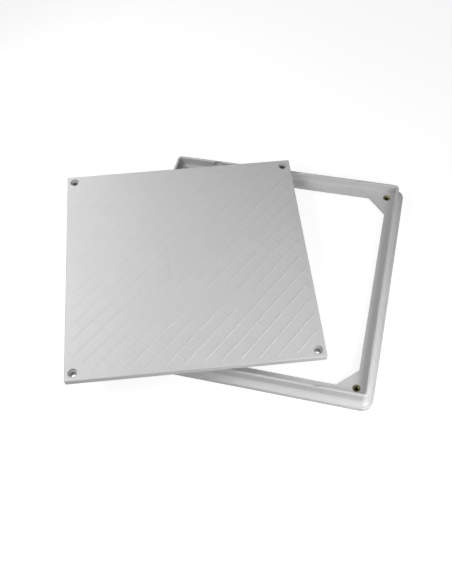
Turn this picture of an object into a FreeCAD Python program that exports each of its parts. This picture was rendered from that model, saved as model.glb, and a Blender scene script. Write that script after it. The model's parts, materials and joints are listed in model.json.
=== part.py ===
import FreeCAD, Part
import math
import os

# Millimetres. +Z is up, and the frame stands on z = 0.
# The cover is drawn flat about its own centre, with its underside at z = 0, and then laid on the frame.

# Cover plate
cover_side = 399.0
cover_thickness = 11.0
cover_corner_bevel = 1.5
cover_edge_bevel = 1.0

# Tread: two families of diagonal V grooves, which leave square pads between them
tread_pitch = 28.6
tread_lines_each_way = 12
groove_width = 3.0
groove_depth = 0.7
tread_border = 9.0

# Plain fields that break the tread
panel_side = 61.5
panel_sink = 0.5
band_length = 200.0
band_height = 30.0
band_offset = 86.6

# Fixing holes in the cover's corners, for cap screws whose heads lie below the top
hole_inset = 13.0
hole_diameter = 8.5
counterbore_diameter = 15.0
counterbore_depth = 5.0

# Stiffening ribs under the cover
rib_depth = 20.0
rib_inset = 22.0
rib_thickness = 5.0
rib_cells = 6
rib_draft = 0.8
rib_gusset_gap = 4.0

# Low lip under the cover's edge, which sits on the ledge, with a pad at each hole
lip_depth = 4.0
lip_inset = 4.0
lip_width = 8.0
lip_pad = 24.0

# Frame: rim, rebate and ledge
frame_height = 34.0
cover_play = 1.0
seal_allowance = 2.0
rim_wall = 4.25
rim_bevel = 0.8
rim_corner_radius = 8.0
ledge_width = 14.0
ledge_thickness = 9.0
gusset_leg = 31.0

# Frame: flange and its hollow underside
flange_width = 10.5
flange_height = 9.5
flange_round = 2.5
cove_leg = 5.0
web_thickness = 7.0
skin = 4.0
flange_pockets = 5
flange_rib = 4.5

# Lifting notches in the rim's inner face
notch_width = 12.0
notch_bite = 2.5
notch_height = 7.5
notch_offset = 127.0

# Threaded inserts in the gussets
insert_diameter = 12.5
insert_length = 14.0
insert_sink = 0.3
insert_bore = 6.8
boss_wall = 3.75

# How the loose cover lies on the frame
cover_turn_deg = 19.6
cover_shift_x = -118.5
cover_shift_y = -38.1
rest_gap = 0.05

# Tied dimensions
cover_half = cover_side / 2
rebate_half = cover_half + cover_play
rim_half = rebate_half + rim_wall
opening_half = rebate_half - ledge_width
flange_half = rim_half + flange_width
rebate_depth = cover_thickness + lip_depth + seal_allowance
ledge_top = frame_height - rebate_depth
ledge_bottom = ledge_top - ledge_thickness
web_half = rim_half - web_thickness
hole_offset = cover_half - hole_inset
rib_half = cover_half - rib_inset
lip_half = cover_half - lip_inset
gusset_reach = 2 * opening_half - gusset_leg
rib_reach = gusset_reach - rib_gusset_gap * math.sqrt(2)
boss_radius = insert_diameter / 2 + boss_wall
overcut = 1.0
corners = {"far_left": (-1, 1), "far_right": (1, 1), "near_left": (-1, -1), "near_right": (1, -1)}

Vector = FreeCAD.Vector
Rotation = FreeCAD.Rotation
Placement = FreeCAD.Placement
up = Vector(0, 0, 1)


def polygon_face(points, z):
    corner_points = [Vector(x, y, z) for x, y in points]
    return Part.Face(Part.makePolygon(corner_points + corner_points[:1]))


def prism(points, z, height):
    return polygon_face(points, z).extrude(Vector(0, 0, height))


def centred_box(length, width, height, x, y, z):
    return Part.makeBox(length, width, height, Vector(x - length / 2, y - width / 2, z))


def upright_edges(block):
    return [edge for edge in block.Edges if edge.BoundBox.ZLength > block.BoundBox.ZLength / 2]


def square_block(half, z, height):
    return centred_box(2 * half, 2 * half, height, 0, 0, z)


def rounded_square(half, radius, z, height):
    block = square_block(half, z, height)
    return block.makeFillet(radius, upright_edges(block))


def edges_at(shape, z, inner, outer):
    # Level edges at height z that lie between two square outlines
    picked = []
    for edge in shape.Edges:
        box = edge.BoundBox
        if abs(box.ZMin - z) > 1e-4 or abs(box.ZMax - z) > 1e-4:
            continue
        reach = max(abs(box.XMin), abs(box.XMax), abs(box.YMin), abs(box.YMax))
        if inner < reach < outer:
            picked.append(edge)
    return picked


def octagon(half, reach):
    # A square outline with its corners cut where |x| + |y| = reach
    cut = reach - half
    return [(half, -cut), (half, cut), (cut, half), (-cut, half),
            (-half, cut), (-half, -cut), (-cut, -half), (cut, -half)]


# Cover

def plate():
    blank = square_block(cover_half, 0, cover_thickness)
    blank = blank.makeChamfer(cover_corner_bevel, upright_edges(blank))
    return blank.makeChamfer(cover_edge_bevel, edges_at(blank, cover_thickness, 0, cover_side))


def tread_field():
    # Where the top carries grooves: inside the border and the corner lines, outside the plain fields
    low = cover_thickness - groove_depth - overcut
    tall = groove_depth + 2 * overcut
    half = cover_half - tread_border
    reach = tread_lines_each_way * tread_pitch + groove_width
    field = prism(octagon(half, reach), low, tall)
    panel = centred_box(panel_side, panel_side, tall, 0, 0, low)
    band = centred_box(band_length, band_height, tall, 0, -band_offset, low)
    return field.cut([panel, band])


def groove(line, turn_deg):
    # One long groove, a number of diagonal pitches off the centre and turned about it
    low = cover_thickness - groove_depth
    high = cover_thickness + overcut
    half_high = groove_width / 2 * (high - low) / groove_depth
    section = [Vector(-cover_side, y, z) for y, z in ((0, low), (half_high, high), (-half_high, high))]
    bar = Part.Face(Part.makePolygon(section + section[:1])).extrude(Vector(2 * cover_side, 0, 0))
    bar.translate(Vector(0, line * tread_pitch / math.sqrt(2), 0))
    bar.rotate(Vector(0, 0, 0), up, turn_deg)
    return bar


def groove_family(field, turn_deg):
    lines = range(-tread_lines_each_way, tread_lines_each_way + 1)
    return [groove(line, turn_deg).common(field) for line in lines]


def rib_pocket(column, row):
    # One open cell between the ribs, wider at its mouth by the moulding draft
    pitch = (2 * rib_half - rib_thickness) / rib_cells
    x = (column - (rib_cells - 1) / 2) * pitch
    y = (row - (rib_cells - 1) / 2) * pitch
    mouth = (pitch - rib_thickness) / 2 + rib_draft
    top = mouth - 2 * rib_draft
    cell = Part.makeWedge(-mouth, -rib_depth - overcut, -mouth, -top, -top, mouth, 0, mouth, top, top)
    cell.rotate(Vector(0, 0, 0), Vector(1, 0, 0), 90)
    cell.translate(Vector(x, y, 0))
    return cell


def ribs():
    block = prism(octagon(rib_half, rib_reach), -rib_depth, rib_depth)
    inner = prism(octagon(rib_half - rib_thickness / 2, rib_reach - rib_thickness * math.sqrt(2)),
                  -rib_depth - overcut, rib_depth + overcut)
    cells = [rib_pocket(column, row) for column in range(rib_cells) for row in range(rib_cells)]
    return block.cut([cell.common(inner) for cell in cells])


def seat_lip():
    lip = square_block(lip_half, -lip_depth, lip_depth)
    inside = square_block(lip_half - lip_width, -lip_depth - overcut, lip_depth + 2 * overcut)
    middle = lip_half - lip_pad / 2
    pads = [centred_box(lip_pad, lip_pad, lip_depth, sx * middle, sy * middle, -lip_depth)
            for sx, sy in corners.values()]
    return lip.cut(inside).fuse(pads)


def screw_hole(x, y):
    foot = Vector(x, y, -lip_depth - overcut)
    seat = Vector(x, y, cover_thickness - counterbore_depth)
    shank = Part.makeCylinder(hole_diameter / 2, cover_thickness + lip_depth, foot)
    head = Part.makeCylinder(counterbore_diameter / 2, counterbore_depth + overcut, seat)
    return shank.fuse(head)


def make_cover():
    field = tread_field()
    body = plate()
    for turn_deg in (45, -45):
        body = body.cut(groove_family(field, turn_deg))
    panel = square_block(panel_side / 2, cover_thickness - panel_sink, panel_sink + overcut)
    holes = [screw_hole(sx * hole_offset, sy * hole_offset) for sx, sy in corners.values()]
    return body.fuse([ribs(), seat_lip()]).cut([panel] + holes).removeSplitter()


# Frame

def gusset(sx, sy):
    # Corner plate level with the ledge, with a boss under it that is tied to both walls
    root = opening_half + ledge_width / 2
    tip = gusset_reach - root
    plate_outline = [(sx * root, sy * root), (sx * tip, sy * root), (sx * root, sy * tip)]
    corner_plate = prism(plate_outline, ledge_bottom, ledge_thickness)
    foot = ledge_top - insert_sink - insert_length
    tall = ledge_bottom - foot + overcut
    boss = Part.makeCylinder(boss_radius, tall, Vector(sx * hole_offset, sy * hole_offset, foot))
    wall_side = web_half + overcut
    long_leg = wall_side - hole_offset + boss_radius
    short_leg = wall_side - hole_offset
    long_mid = wall_side - long_leg / 2
    short_mid = wall_side - short_leg / 2
    tie_x = centred_box(short_leg, long_leg, tall, sx * short_mid, sy * long_mid, foot)
    tie_y = centred_box(long_leg, short_leg, tall, sx * long_mid, sy * short_mid, foot)
    return corner_plate.fuse([boss, tie_x, tie_y])


def flange_pocket(side, index):
    # One hollow in the flange's underside, between the outer lip and the web
    span = 2 * (web_half - skin)
    pitch = (span + flange_rib) / flange_pockets
    length = pitch - flange_rib
    depth = flange_height - skin
    inner = web_half + skin
    outer = flange_half - skin
    along = -span / 2 + index * pitch + length / 2
    pocket = centred_box(length, outer - inner, depth + overcut, along, (inner + outer) / 2, -overcut)
    pocket.rotate(Vector(0, 0, 0), up, 90 * side)
    return pocket


def lifting_notch(sx, sy):
    inner = rebate_half - overcut
    width = notch_bite + overcut
    return centred_box(notch_width, width, notch_height + overcut, sx * notch_offset,
                       sy * (inner + width / 2), frame_height - notch_height)


def make_frame():
    flange = rounded_square(flange_half, rim_corner_radius + flange_width, 0, flange_height)
    wall = rounded_square(rim_half, rim_corner_radius, 0, frame_height)
    body = flange.fuse(wall).removeSplitter()
    split = rim_half + flange_width / 2
    body = body.makeChamfer(cove_leg, edges_at(body, flange_height, 0, split))
    body = body.makeFillet(flange_round, edges_at(body, flange_height, split, flange_half + overcut))
    rebate_radius = rim_corner_radius - rim_wall
    rebate = rounded_square(rebate_half, rebate_radius, ledge_top, rebate_depth + overcut)
    opening = square_block(opening_half, -overcut, frame_height)
    under_ledge = square_block(web_half, -overcut, ledge_bottom + overcut)
    body = body.cut([rebate, opening, under_ledge])
    body = body.makeChamfer(rim_bevel, edges_at(body, frame_height, 0, split))
    body = body.fuse([gusset(sx, sy) for sx, sy in corners.values()]).removeSplitter()
    pockets = [flange_pocket(side, index) for side in range(4) for index in range(flange_pockets)]
    notches = [lifting_notch(sx, sy) for sx, sy in corners.values()]
    seats = [insert_body(sx, sy, insert_diameter / 2, frame_height) for sx, sy in corners.values()]
    return body.cut(pockets + notches + seats)


# Threaded inserts

def insert_body(sx, sy, radius, top):
    # A round bar from the insert's foot up to a given height
    foot = ledge_top - insert_sink - insert_length
    return Part.makeCylinder(radius, top - foot, Vector(sx * hole_offset, sy * hole_offset, foot))


def make_insert(sx, sy):
    top = ledge_top - insert_sink
    bore = insert_body(sx, sy, insert_bore / 2, top)
    return insert_body(sx, sy, insert_diameter / 2, top).cut(bore)


# Placing the loose cover

def crossing(place, start, along, axis, value):
    # Where a straight edge of the laid cover passes over a line of the rim, in the cover's own frame
    base = place.multVec(start)
    course = place.Rotation.multVec(along)
    step = (value - base[axis]) / course[axis]
    return start + along * step


def resting_placement():
    # Ribs bear on the near and left rim, and the lip's right edge on the far rim
    inner_line = -(rebate_half + rim_bevel)
    outer_line = rim_half - rim_bevel
    bearing = frame_height + rest_gap
    centre = Vector(cover_shift_x, cover_shift_y, bearing + rib_depth)
    place = Placement(centre, Rotation(up, cover_turn_deg))
    for _ in range(12):
        near = crossing(place, Vector(0, -rib_half, -rib_depth), Vector(1, 0, 0), 1, inner_line)
        left = crossing(place, Vector(0, rib_half, -rib_depth), Vector(1, 0, 0), 0, inner_line)
        far = crossing(place, Vector(lip_half, 0, -lip_depth), Vector(0, 1, 0), 1, outer_line)
        level = Rotation((far - near).cross(left - near), up)
        heading = level.multVec(Vector(1, 0, 0))
        turn = cover_turn_deg - math.degrees(math.atan2(heading.y, heading.x))
        attitude = Rotation(up, turn).multiply(level)
        centre.z = bearing - attitude.multVec(near).z
        place = Placement(centre, attitude)
    return place


def build():
    pieces = {"cover": make_cover(), "frame": make_frame()}
    for name, (sx, sy) in corners.items():
        pieces["insert_" + name] = make_insert(sx, sy)
    pieces["cover"].Placement = resting_placement()
    outline = FreeCAD.BoundBox()
    for shape in pieces.values():
        outline.add(shape.BoundBox)
    to_origin = Vector(-outline.Center.x, -outline.Center.y, 0)
    for shape in pieces.values():
        shape.translate(to_origin)
    return pieces


os.makedirs("parts", exist_ok=True)
for name, shape in build().items():
    shape.exportStep("parts/" + name + ".step")
    box = shape.BoundBox
    print(name, "solids", len(shape.Solids), "valid", shape.isValid(), "faces", len(shape.Faces),
          "volume", round(shape.Volume, 1), "z", round(box.ZMin, 3), round(box.ZMax, 3))
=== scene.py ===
import json
import math

import bmesh
import bpy
from mathutils import Matrix, Vector


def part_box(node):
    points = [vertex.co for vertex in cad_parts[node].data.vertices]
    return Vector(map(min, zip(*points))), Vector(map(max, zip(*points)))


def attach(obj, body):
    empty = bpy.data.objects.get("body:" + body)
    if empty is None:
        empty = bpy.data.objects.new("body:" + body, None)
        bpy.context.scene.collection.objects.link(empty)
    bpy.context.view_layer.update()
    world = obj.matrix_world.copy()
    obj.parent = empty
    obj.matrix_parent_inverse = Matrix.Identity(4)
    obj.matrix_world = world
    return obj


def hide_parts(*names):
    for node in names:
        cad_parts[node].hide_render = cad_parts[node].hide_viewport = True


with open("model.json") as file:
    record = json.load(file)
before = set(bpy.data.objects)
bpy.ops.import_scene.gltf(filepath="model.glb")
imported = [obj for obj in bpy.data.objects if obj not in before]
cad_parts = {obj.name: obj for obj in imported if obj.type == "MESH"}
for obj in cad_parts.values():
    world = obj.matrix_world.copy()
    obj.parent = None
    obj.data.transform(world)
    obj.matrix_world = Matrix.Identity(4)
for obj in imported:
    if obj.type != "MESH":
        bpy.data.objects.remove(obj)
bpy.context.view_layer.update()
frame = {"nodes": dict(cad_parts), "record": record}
nodes = frame["nodes"]
mounts = {mount["name"]: mount for mount in frame["record"]["mounts"]}
mm = 0.001
# The pitch of the cover's diagonal lines, 28.6 mm as measured along its sides
treadPitch = 28.6 / math.sqrt(2) * mm
print("frame loaded:", ", ".join(sorted(nodes)))


# Where the loose cover lies: its holes' mount gives the height and the lean, and the turn is seen
# from above
coverPose = {"turn": 19.6, "holeHeight": 1 * mm}


def coverPlace():
    mount = mounts["cover_holes"]
    lean = Vector(mount["axis"]).normalized()
    heading = math.radians(coverPose["turn"])
    along = Vector((math.cos(heading), math.sin(heading), 0))
    along.z = -(lean.x * along.x + lean.y * along.y) / lean.z
    along.normalize()
    place = Matrix((along, lean.cross(along), lean)).transposed().to_4x4()
    place.translation = Vector(mount["pos_m"]) - lean * coverPose["holeHeight"]
    return place


def framePlace():
    return Matrix.Translation(Vector(mounts["insert_pattern"]["pos_m"]) * Vector((1, 1, 0)))


# Small helpers for node trees
def newMaterial(name):
    material = bpy.data.materials.new(name)
    material.use_nodes = True
    tree = material.node_tree
    return material, tree, tree.nodes["Principled BSDF"]


def addNode(tree, kind, **settings):
    node = tree.nodes.new(kind)
    for key, value in settings.items():
        setattr(node, key, value)
    return node


def maths(tree, operation, first, second=None):
    node = addNode(tree, "ShaderNodeMath", operation=operation)
    for socket, value in zip(node.inputs, (first, second)):
        if value is None:
            continue
        if isinstance(value, (int, float)):
            socket.default_value = value
        else:
            tree.links.new(value, socket)
    return node.outputs[0]


def spread(tree, value, low, high):
    # A 0 to 1 value stretched to low .. high
    return maths(tree, "ADD", maths(tree, "MULTIPLY", value, high - low), low)


def noise(tree, vector, scale, detail, roughness=0.5):
    node = addNode(tree, "ShaderNodeTexNoise")
    node.inputs["Scale"].default_value = scale
    node.inputs["Detail"].default_value = detail
    node.inputs["Roughness"].default_value = roughness
    tree.links.new(vector, node.inputs["Vector"])
    return node.outputs["Fac"]


def bump(tree, height, depth, under=None):
    # A bump of some depth in metres, on top of the one under it
    node = addNode(tree, "ShaderNodeBump")
    node.inputs["Strength"].default_value = 1
    node.inputs["Distance"].default_value = depth
    tree.links.new(height, node.inputs["Height"])
    if under is not None:
        tree.links.new(under, node.inputs["Normal"])
    return node.outputs["Normal"]


def scaled(tree, colour, factor):
    # A colour, fixed or from a socket, made darker or lighter by a factor
    node = addNode(tree, "ShaderNodeVectorMath", operation="SCALE")
    if isinstance(colour, tuple):
        node.inputs[0].default_value = colour
    else:
        tree.links.new(colour, node.inputs[0])
    tree.links.new(factor, node.inputs["Scale"])
    return node.outputs["Vector"]


def placedVector(tree, place):
    # Object coordinates, read in a piece's own axes
    coordinates = addNode(tree, "ShaderNodeTexCoord")
    mapping = addNode(tree, "ShaderNodeMapping", vector_type="TEXTURE")
    mapping.inputs["Location"].default_value = place.to_translation()
    mapping.inputs["Rotation"].default_value = place.to_euler()
    tree.links.new(coordinates.outputs["Object"], mapping.inputs["Vector"])
    return mapping.outputs["Vector"]


# Painted shade in the cover's holes: the colour is darkened in the through bore, and a little in
# the counterbore
holes = {
    "inset": mounts["insert_pattern"]["dims"]["spacing_x_mm"] / 2 * mm,    # over the inserts
    "bore": 5.0 * mm, "boreShade": 0.35,
    "seat": 8.2 * mm, "seatShade": 0.85,
    "below": 10.4 * mm,    # only what lies lower than this is darkened
}


def paintedHoleShade(tree, vector):
    split = addNode(tree, "ShaderNodeSeparateXYZ")
    tree.links.new(vector, split.inputs[0])
    across = [maths(tree, "SUBTRACT", maths(tree, "ABSOLUTE", split.outputs[axis]), holes["inset"])
              for axis in ("X", "Y")]
    square = maths(tree, "ADD", *[maths(tree, "MULTIPLY", value, value) for value in across])
    below = maths(tree, "LESS_THAN", split.outputs["Z"], holes["below"])
    shades = []
    for part in ("bore", "seat"):
        within = maths(tree, "LESS_THAN", square, holes[part] ** 2)
        inside = maths(tree, "MULTIPLY", within, below)
        shades.append(spread(tree, inside, 1, holes[part + "Shade"]))
    return maths(tree, "MULTIPLY", *shades)


# Moulded composite: pale grey, satin, with a faint cloud, glass fibre flecks and a fine skin
composite = {
    "grey": (0.625, 0.626, 0.630),
    "cloudScale": 9, "cloudTone": 0.02,
    "fleckScale": 420, "fleckTone": 0.02, "fleckRoughness": 0.7,
    "padTone": 0.01,
    "roughness": (0.30, 0.40), "roughScale": 60,
    "grainScale": 900, "grainDepth": 0.02 * mm,
    "waveScale": 28, "waveDepth": 0.12 * mm,
}


def padTone(tree, vector):
    # Each small pad between the tread's lines has its own faint tone
    turned = addNode(tree, "ShaderNodeMapping", vector_type="POINT")
    turned.inputs["Rotation"].default_value = (0, 0, math.radians(45))
    turned.inputs["Scale"].default_value = (1 / treadPitch, 1 / treadPitch, 0)
    tree.links.new(vector, turned.inputs["Vector"])
    cell = addNode(tree, "ShaderNodeVectorMath", operation="FLOOR")
    tree.links.new(turned.outputs["Vector"], cell.inputs[0])
    chance = addNode(tree, "ShaderNodeTexWhiteNoise", noise_dimensions="3D")
    tree.links.new(cell.outputs["Vector"], chance.inputs["Vector"])
    return spread(tree, chance.outputs["Value"], -composite["padTone"], composite["padTone"])


def compositeMaterial(name, place, isCover):
    material, tree, skin = newMaterial(name)
    vector = placedVector(tree, place)
    cloud = noise(tree, vector, composite["cloudScale"], detail=3)
    fleck = noise(tree, vector, composite["fleckScale"], detail=3,
                  roughness=composite["fleckRoughness"])
    tone = maths(tree, "ADD",
                 spread(tree, cloud, -composite["cloudTone"], composite["cloudTone"]),
                 spread(tree, fleck, -composite["fleckTone"], composite["fleckTone"]))
    if isCover:
        tone = maths(tree, "ADD", tone, padTone(tree, vector))
    factor = maths(tree, "ADD", tone, 1)
    if isCover:
        # Painted shade: the cover's colour is darkened inside its holes
        factor = maths(tree, "MULTIPLY", factor, paintedHoleShade(tree, vector))
    rough = noise(tree, vector, composite["roughScale"], detail=3)
    wave = bump(tree, noise(tree, vector, composite["waveScale"], detail=1), composite["waveDepth"])
    grain = bump(tree, noise(tree, vector, composite["grainScale"], detail=2),
                 composite["grainDepth"], wave)
    tree.links.new(scaled(tree, composite["grey"], factor), skin.inputs["Base Color"])
    tree.links.new(spread(tree, rough, *composite["roughness"]), skin.inputs["Roughness"])
    tree.links.new(grain, skin.inputs["Normal"])
    return material


# Brass of the threaded inserts: tarnished to a dark olive, with painted shade making it darker down
# the bore
brass = {
    "light": (0.30, 0.28, 0.15), "dark": (0.10, 0.095, 0.045),
    "stainScale": 260, "roughness": (0.28, 0.5),
    "markScale": 2200, "markDepth": 0.03 * mm,
    "deep": 4.5 * mm, "paintedBoreShade": 0.06,
}


def brassMaterial(insertTop):
    material, tree, skin = newMaterial("dullBrass")
    vector = placedVector(tree, Matrix())
    stain = noise(tree, vector, brass["stainScale"], detail=4)
    mix = addNode(tree, "ShaderNodeMix", data_type="RGBA")
    mix.inputs["A"].default_value = (*brass["dark"], 1)
    mix.inputs["B"].default_value = (*brass["light"], 1)
    tree.links.new(stain, mix.inputs["Factor"])
    height = addNode(tree, "ShaderNodeSeparateXYZ")
    tree.links.new(vector, height.inputs[0])
    # Painted shade: the brass colour fades towards near black down the bore
    depth = addNode(tree, "ShaderNodeMapRange")
    depth.inputs["From Min"].default_value = insertTop - brass["deep"]
    depth.inputs["From Max"].default_value = insertTop
    depth.inputs["To Min"].default_value = brass["paintedBoreShade"]
    tree.links.new(height.outputs["Z"], depth.inputs["Value"])
    tone = scaled(tree, mix.outputs["Result"], depth.outputs["Result"])
    marks = bump(tree, noise(tree, vector, brass["markScale"], detail=2), brass["markDepth"])
    tree.links.new(tone, skin.inputs["Base Color"])
    skin.inputs["Metallic"].default_value = 1
    tree.links.new(spread(tree, stain, *brass["roughness"]), skin.inputs["Roughness"])
    tree.links.new(marks, skin.inputs["Normal"])
    return material


# The hollow corner between flange and wall, drawn flat in the solid, gets its round sweep
cove = {
    "levels": (9.5 * mm, 14.5 * mm), "near": 0.02 * mm,
    "angle": math.radians(45), "angleNear": 0.1,    # radians
    "width": 2.6 * mm, "segments": 4,
}


def roundCove(mesh):
    def onLevel(vert):
        return min(abs(vert.co.z - level) for level in cove["levels"]) < cove["near"]

    edges = [edge for edge in mesh.edges
             if edge.is_manifold and not edge.is_convex and all(map(onLevel, edge.verts))
             and abs(edge.calc_face_angle() - cove["angle"]) < cove["angleNear"]]
    bmesh.ops.bevel(mesh, geom=edges, offset=cove["width"], offset_type="OFFSET", affect="EDGES",
                    segments=cove["segments"], profile=0.5, material=-1, clamp_overlap=False)
    print("cove rounded along", len(edges), "edges")


# The tread reads as low raised lines in the photo, one family stronger than the other, so the
# solid's grooves are turned up out of the top. Places are in the cover's own axes
tread = {
    "top": 11 * mm, "floor": 10.3 * mm, "halfWidth": 1.5 * mm,                # the solid's grooves
    "panelHalf": 30.75 * mm, "panelFloor": 10.5 * mm, "bandHalf": 100 * mm,   # and what they meet
    "strongHigh": 1.0 * mm, "weakHigh": 0.4 * mm,                             # the raised lines
    "fullUpTo": -75 * mm, "faintFrom": 160 * mm, "faint": 0.3,                # how they wear off
    "near": 0.01 * mm, "endSteep": 0.3, "sharpAngle": math.radians(4),
}


def acrossWeak(spot):
    return (spot.x + spot.y) / math.sqrt(2)


def acrossStrong(spot):
    return (spot.x - spot.y) / math.sqrt(2)


def onLine(distance):
    # Whether a distance across one family of lines falls on a line
    return abs(distance - round(distance / treadPitch) * treadPitch) < tread["near"]


def wear(spot):
    # The lines stand at full height on the near right and are nearly smooth on the far left
    part = (-acrossStrong(spot) - tread["fullUpTo"]) / (tread["faintFrom"] - tread["fullUpTo"])
    return 1 - (1 - tread["faint"]) * min(max(part, 0), 1)


def closeAtPanel(mesh, crest, panelEdge):
    # Where a groove meets the sunk panel, its end is closed off before it is turned up
    for face in list(mesh.faces):
        for loop in list(face.loops):
            ends = loop.link_loop_prev.vert, loop.link_loop_next.vert
            if loop.vert in panelEdge and len(face.verts) > 3 and not panelEdge & set(ends):
                if (ends[0] in crest) != (ends[1] in crest):
                    bmesh.utils.face_split(face, *ends)
                    break


def joinAtFlank(edge, crossing, crest):
    # A weak line's crest edge is cut where it meets a strong line's flank, short of the crossing
    reach = tread["halfWidth"] * (1 - tread["weakHigh"] / tread["strongHigh"])
    edge, meeting = bmesh.utils.edge_split(edge, crossing, reach / edge.calc_length())
    crest.add(meeting)
    for face in list(meeting.link_faces):
        corner = [loop for loop in face.loops if loop.vert == crossing][0]
        other = ({corner.link_loop_prev.vert, corner.link_loop_next.vert} - {meeting}).pop()
        if len(face.verts) > 3:
            bmesh.utils.face_split(face, meeting, other)
    rest = [line for line in meeting.link_edges
            if crossing not in line.verts and set(line.verts) <= crest]
    return rest[0], meeting


def raiseTread(mesh):
    place = coverPlace()
    back = place.inverted()
    near, top = tread["near"], tread["top"]
    spots = {vert: back @ vert.co for vert in mesh.verts}
    panelEdge = {vert for vert, spot in spots.items()
                 if abs(spot.z - tread["panelFloor"]) < near
                 and abs(max(abs(spot.x), abs(spot.y)) - tread["panelHalf"]) < near}
    crest = {vert for vert, spot in spots.items()
             if tread["floor"] - near < spot.z < top - near} - panelEdge
    strong = {vert for vert in crest if onLine(acrossStrong(spots[vert]))}
    weak = {vert for vert in crest if onLine(acrossWeak(spots[vert]))}
    closeAtPanel(mesh, crest, panelEdge)

    weakEdges = [edge for edge in mesh.edges if set(edge.verts) <= weak
                 and abs(acrossWeak(spots[edge.verts[0]] - spots[edge.verts[1]])) < near]
    # An edge that runs from one crossing to the next is cut at both of its ends
    for edge in weakEdges:
        for crossing in [vert for vert in edge.verts if vert in strong]:
            if edge.calc_length() >= 2 * tread["halfWidth"]:
                edge, meeting = joinAtFlank(edge, crossing, crest)
                spots[meeting] = back @ meeting.co

    for vert in crest:
        spot = spots[vert]
        high = tread["strongHigh"] if vert in strong else tread["weakHigh"]
        scale = high / (top - tread["floor"]) * wear(spot)
        if abs(abs(spot.x) - tread["bandHalf"]) < near:
            scale = 0    # a line that only grazes the plain band's corner runs out there
        vert.co = place @ Vector((spot.x, spot.y, top + (top - spot.z) * scale))
    mesh.normal_update()
    print("tread raised:", len(crest), "points,", len(strong & weak), "crossings")
    return {face for vert in crest for face in vert.link_faces}


# The mouldings: a welded copy of each node, with its hard edges rounded as a mould leaves them
moulding = {
    "weld": 0.002 * mm, "flatAngle": math.radians(0.6), "sharpAngle": math.radians(24),
    "width": 0.3 * mm, "segments": 2,
}


def edgesToRound(mesh, ridges):
    # The tread's ridges are rounded along their gentle edges too, but not at their small ends
    up = coverPlace().to_3x3() @ Vector((0, 0, 1))
    ridgeEnds = {face for face in ridges if abs(face.normal.dot(up)) < tread["endSteep"]}
    chosen = []
    for edge in mesh.edges:
        faces = set(edge.link_faces)
        limit = tread["sharpAngle"] if ridges & faces else moulding["sharpAngle"]
        if edge.is_manifold and not ridgeEnds & faces and edge.calc_face_angle() > limit:
            chosen.append(edge)
    return chosen


def makeMoulding(node, material):
    mesh = bmesh.new()
    mesh.from_mesh(nodes[node].data)
    bmesh.ops.remove_doubles(mesh, verts=mesh.verts, dist=moulding["weld"])
    bmesh.ops.dissolve_limit(mesh, angle_limit=moulding["flatAngle"],
                             verts=mesh.verts, edges=mesh.edges)
    if node == "frame":
        roundCove(mesh)
    edges = edgesToRound(mesh, raiseTread(mesh) if node == "cover" else set())
    bmesh.ops.bevel(mesh, geom=edges, offset=moulding["width"], offset_type="OFFSET",
                    affect="EDGES", segments=moulding["segments"], profile=0.5, material=-1,
                    clamp_overlap=False)
    bmesh.ops.triangulate(mesh, faces=[face for face in mesh.faces if len(face.verts) > 4])
    data = bpy.data.meshes.new(node + "Moulding")
    mesh.to_mesh(data)
    mesh.free()
    data.materials.append(material)
    piece = bpy.data.objects.new(node + "Moulding", data)
    bpy.context.scene.collection.objects.link(piece)
    for face in data.polygons:
        face.use_smooth = True
    weighted = piece.modifiers.new("softNormals", "WEIGHTED_NORMAL")
    weighted.keep_sharp = True
    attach(piece, "root")
    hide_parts(node)
    print(node, "moulding:", len(data.polygons), "faces,", len(edges), "edges rounded")


makeMoulding("cover", compositeMaterial("coverComposite", coverPlace(), True))
makeMoulding("frame", compositeMaterial("frameComposite", framePlace(), False))


# Threaded inserts: a chamfered mouth, then the thread down to a closed foot
insert = {
    "columns": 48, "outer": 6.25 * mm, "edge": 0.25 * mm, "mouth": 5.3 * mm,
    "mouthDepth": 1.3 * mm, "footDepth": 1.0 * mm,
    "root": 4.0 * mm, "crest": 3.4 * mm, "pitch": 1.25 * mm,
    "profile": ((0, "root"), (0.14, "root"), (0.45, "crest"), (0.69, "crest")),    # of one pitch
    "spareTurns": 3,    # one above the thread's top and two past its foot
    "weld": 0.001 * mm, "smoothAngle": math.radians(28),
}


def spinOutline(mesh, outline, fall=0):
    # An outline of radius and height, spun round the insert's axis and falling as a thread does
    points = [mesh.verts.new((radius, 0, height)) for radius, height in outline]
    lines = [mesh.edges.new(pair) for pair in zip(points, points[1:])]
    bmesh.ops.spin(mesh, geom=points + lines, cent=(0, 0, 0), axis=(0, 0, 1),
                   dvec=(0, 0, -fall / insert["columns"]), angle=2 * math.pi,
                   steps=insert["columns"], use_merge=not fall)


def spinThread(mesh, top, foot):
    # The thread runs past its top and its foot, and what is past them is pressed flat
    pitch, root = insert["pitch"], insert["root"]
    turns = math.ceil((top - foot) / pitch) + insert["spareTurns"]
    spinOutline(mesh, [(insert[kind], top + pitch - (turn + part) * pitch)
                       for turn in range(turns) for part, kind in insert["profile"]], fall=pitch)
    for vert in mesh.verts:
        if not foot < vert.co.z < top:
            vert.co = (*(vert.co.xy.normalized() * root), min(max(vert.co.z, foot), top))


def insertMesh(height):
    mesh = bmesh.new()
    edge, outer = insert["edge"], insert["outer"]
    threadTop = height - insert["mouthDepth"]
    spinThread(mesh, threadTop, insert["footDepth"])
    spinOutline(mesh, [(outer - edge, 0), (outer, edge), (outer, height - edge),
                       (outer - edge, height), (insert["mouth"], height),
                       (insert["root"], threadTop)])
    bmesh.ops.remove_doubles(mesh, verts=mesh.verts, dist=insert["weld"])
    # The foot is closed, and no floor shows through the bore
    bmesh.ops.edgeloop_fill(mesh, edges=[line for line in mesh.edges if line.is_boundary])
    bmesh.ops.recalc_face_normals(mesh, faces=mesh.faces)
    return mesh


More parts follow.
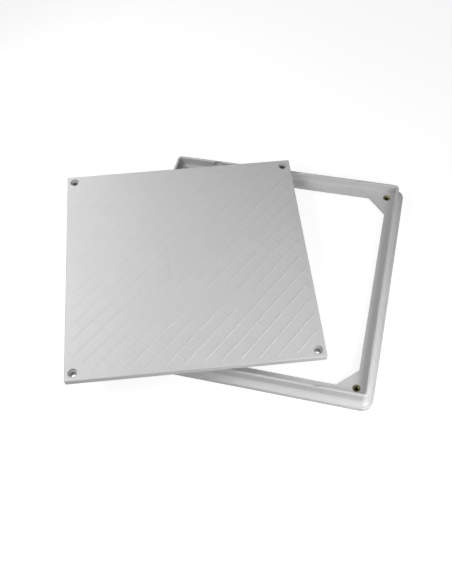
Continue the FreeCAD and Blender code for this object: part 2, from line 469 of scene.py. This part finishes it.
def makeInsert(node, material):
    low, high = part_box(node)
    mesh = insertMesh(high.z - low.z)
    bmesh.ops.translate(mesh, verts=mesh.verts,
                        vec=((low.x + high.x) / 2, (low.y + high.y) / 2, low.z))
    data = bpy.data.meshes.new(node + "Brass")
    mesh.to_mesh(data)
    mesh.free()
    data.materials.append(material)
    for face in data.polygons:
        face.use_smooth = True
    data.set_sharp_from_angle(angle=insert["smoothAngle"])
    piece = bpy.data.objects.new(node + "Brass", data)
    bpy.context.scene.collection.objects.link(piece)
    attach(piece, "root")
    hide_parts(node)
    return piece


insertNames = [name for name in sorted(nodes) if name.startswith("insert_")]
brassSkin = brassMaterial(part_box(insertNames[0])[1].z)
inserts = [makeInsert(name, brassSkin) for name in insertNames]
print("inserts threaded:", len(inserts), "with", len(inserts[0].data.polygons), "faces each")


# Floor and room: white where they are seen, and no light on the object
stage = {
    "size": 6.0, "drop": 0.2 * mm, "floorGrey": 0.3, "floorRoughness": 0.9,
    "floorLift": 0.85, "roomWhite": 0.95,
}


def seenRays(tree):
    # 1 where the camera, a gloss or a see-through piece looks, 0 where light falls
    rays = addNode(tree, "ShaderNodeLightPath").outputs
    return maths(tree, "MAXIMUM", rays["Is Camera Ray"],
                 maths(tree, "MAXIMUM", rays["Is Glossy Ray"], rays["Is Transmission Ray"]))


def makeFloor():
    mesh = bmesh.new()
    bmesh.ops.create_grid(mesh, x_segments=1, y_segments=1, size=stage["size"] / 2)
    data = bpy.data.meshes.new("floor")
    mesh.to_mesh(data)
    mesh.free()
    floor = bpy.data.objects.new("floor", data)
    floor.location.z = -stage["drop"]
    bpy.context.scene.collection.objects.link(floor)
    material, tree, skin = newMaterial("paleFloor")
    grey = stage["floorGrey"]
    skin.inputs["Base Color"].default_value = (grey, grey, grey, 1)
    skin.inputs["Roughness"].default_value = stage["floorRoughness"]
    skin.inputs["Emission Color"].default_value = (1, 1, 1, 1)
    lift = maths(tree, "MULTIPLY", seenRays(tree), stage["floorLift"])
    tree.links.new(lift, skin.inputs["Emission Strength"])
    data.materials.append(material)


def makeRoom():
    world = bpy.data.worlds.new("paleRoom")
    world.use_nodes = True
    bpy.context.scene.world = world
    tree = world.node_tree
    background = tree.nodes["Background"]
    background.inputs["Color"].default_value = (1, 1, 1, 1)
    white = maths(tree, "MULTIPLY", seenRays(tree), stage["roomWhite"])
    tree.links.new(white, background.inputs["Strength"])


makeFloor()
makeRoom()
print("floor and room set")


# Each lamp's level is the plain light it throws on a surface that faces it at the object
lampAim = Vector((0.02, 0, 0.04))
lamps = {
    "right": {"azimuth": 330, "elevation": 30, "distance": 0.8, "size": 0.35, "level": 0.40},
    "rightLow": {"azimuth": 325, "elevation": 10, "distance": 0.8, "size": 0.35, "level": 0.19},
    "rightHigh": {"azimuth": 330, "elevation": 50, "distance": 1.3, "size": 0.5, "level": 0.12},
    "nearLeft": {"azimuth": 215, "elevation": 50, "distance": 0.8, "size": 0.35, "level": 0.42},
    "left": {"azimuth": 165, "elevation": 50, "distance": 0.8, "size": 0.35, "level": 0.18},
    "farLeft": {"azimuth": 140, "elevation": 30, "distance": 0.8, "size": 0.35, "level": 0.15},
}


def makeLamp(name, lamp):
    light = bpy.data.lights.new(name, "AREA")
    light.shape = "SQUARE"
    light.size = lamp["size"]
    light.energy = math.pi ** 2 * lamp["distance"] ** 2 * lamp["level"]
    azimuth, elevation = math.radians(lamp["azimuth"]), math.radians(lamp["elevation"])
    toLamp = Vector((math.cos(elevation) * math.cos(azimuth),
                     math.cos(elevation) * math.sin(azimuth), math.sin(elevation)))
    holder = bpy.data.objects.new(name, light)
    holder.location = lampAim + toLamp * lamp["distance"]
    holder.rotation_euler = (-toLamp).to_track_quat("-Z", "Y").to_euler()
    bpy.context.scene.collection.objects.link(holder)


for lampName, lampSettings in lamps.items():
    makeLamp(lampName, lampSettings)
print("lamps set:", len(lamps))


# The camera stands where the photo was taken, in metres from the frame's centre
camera = {
    "from": (0.1623, -0.6191, 1.0181), "azimuth": 20.77, "elevation": 59.10, "roll": -8.30,
    "lens": 28.56, "sensor": 24, "clipStart": 0.01,
}


def makeCamera():
    lens = bpy.data.cameras.new("photoCamera")
    lens.sensor_fit = "VERTICAL"
    lens.sensor_height = camera["sensor"]
    lens.lens = camera["lens"]
    lens.clip_start = camera["clipStart"]
    holder = bpy.data.objects.new("photoCamera", lens)
    turn = Matrix.Rotation(math.radians(camera["azimuth"]), 4, "Z")
    tilt = Matrix.Rotation(math.radians(90 - camera["elevation"]), 4, "X")
    roll = Matrix.Rotation(math.radians(camera["roll"]), 4, "Z")
    place = Matrix.Translation(camera["from"])
    holder.matrix_world = framePlace() @ place @ turn @ tilt @ roll
    bpy.context.scene.collection.objects.link(holder)
    bpy.context.scene.camera = holder


makeCamera()
bpy.context.scene.view_settings.view_transform = "Standard"
print("camera set")
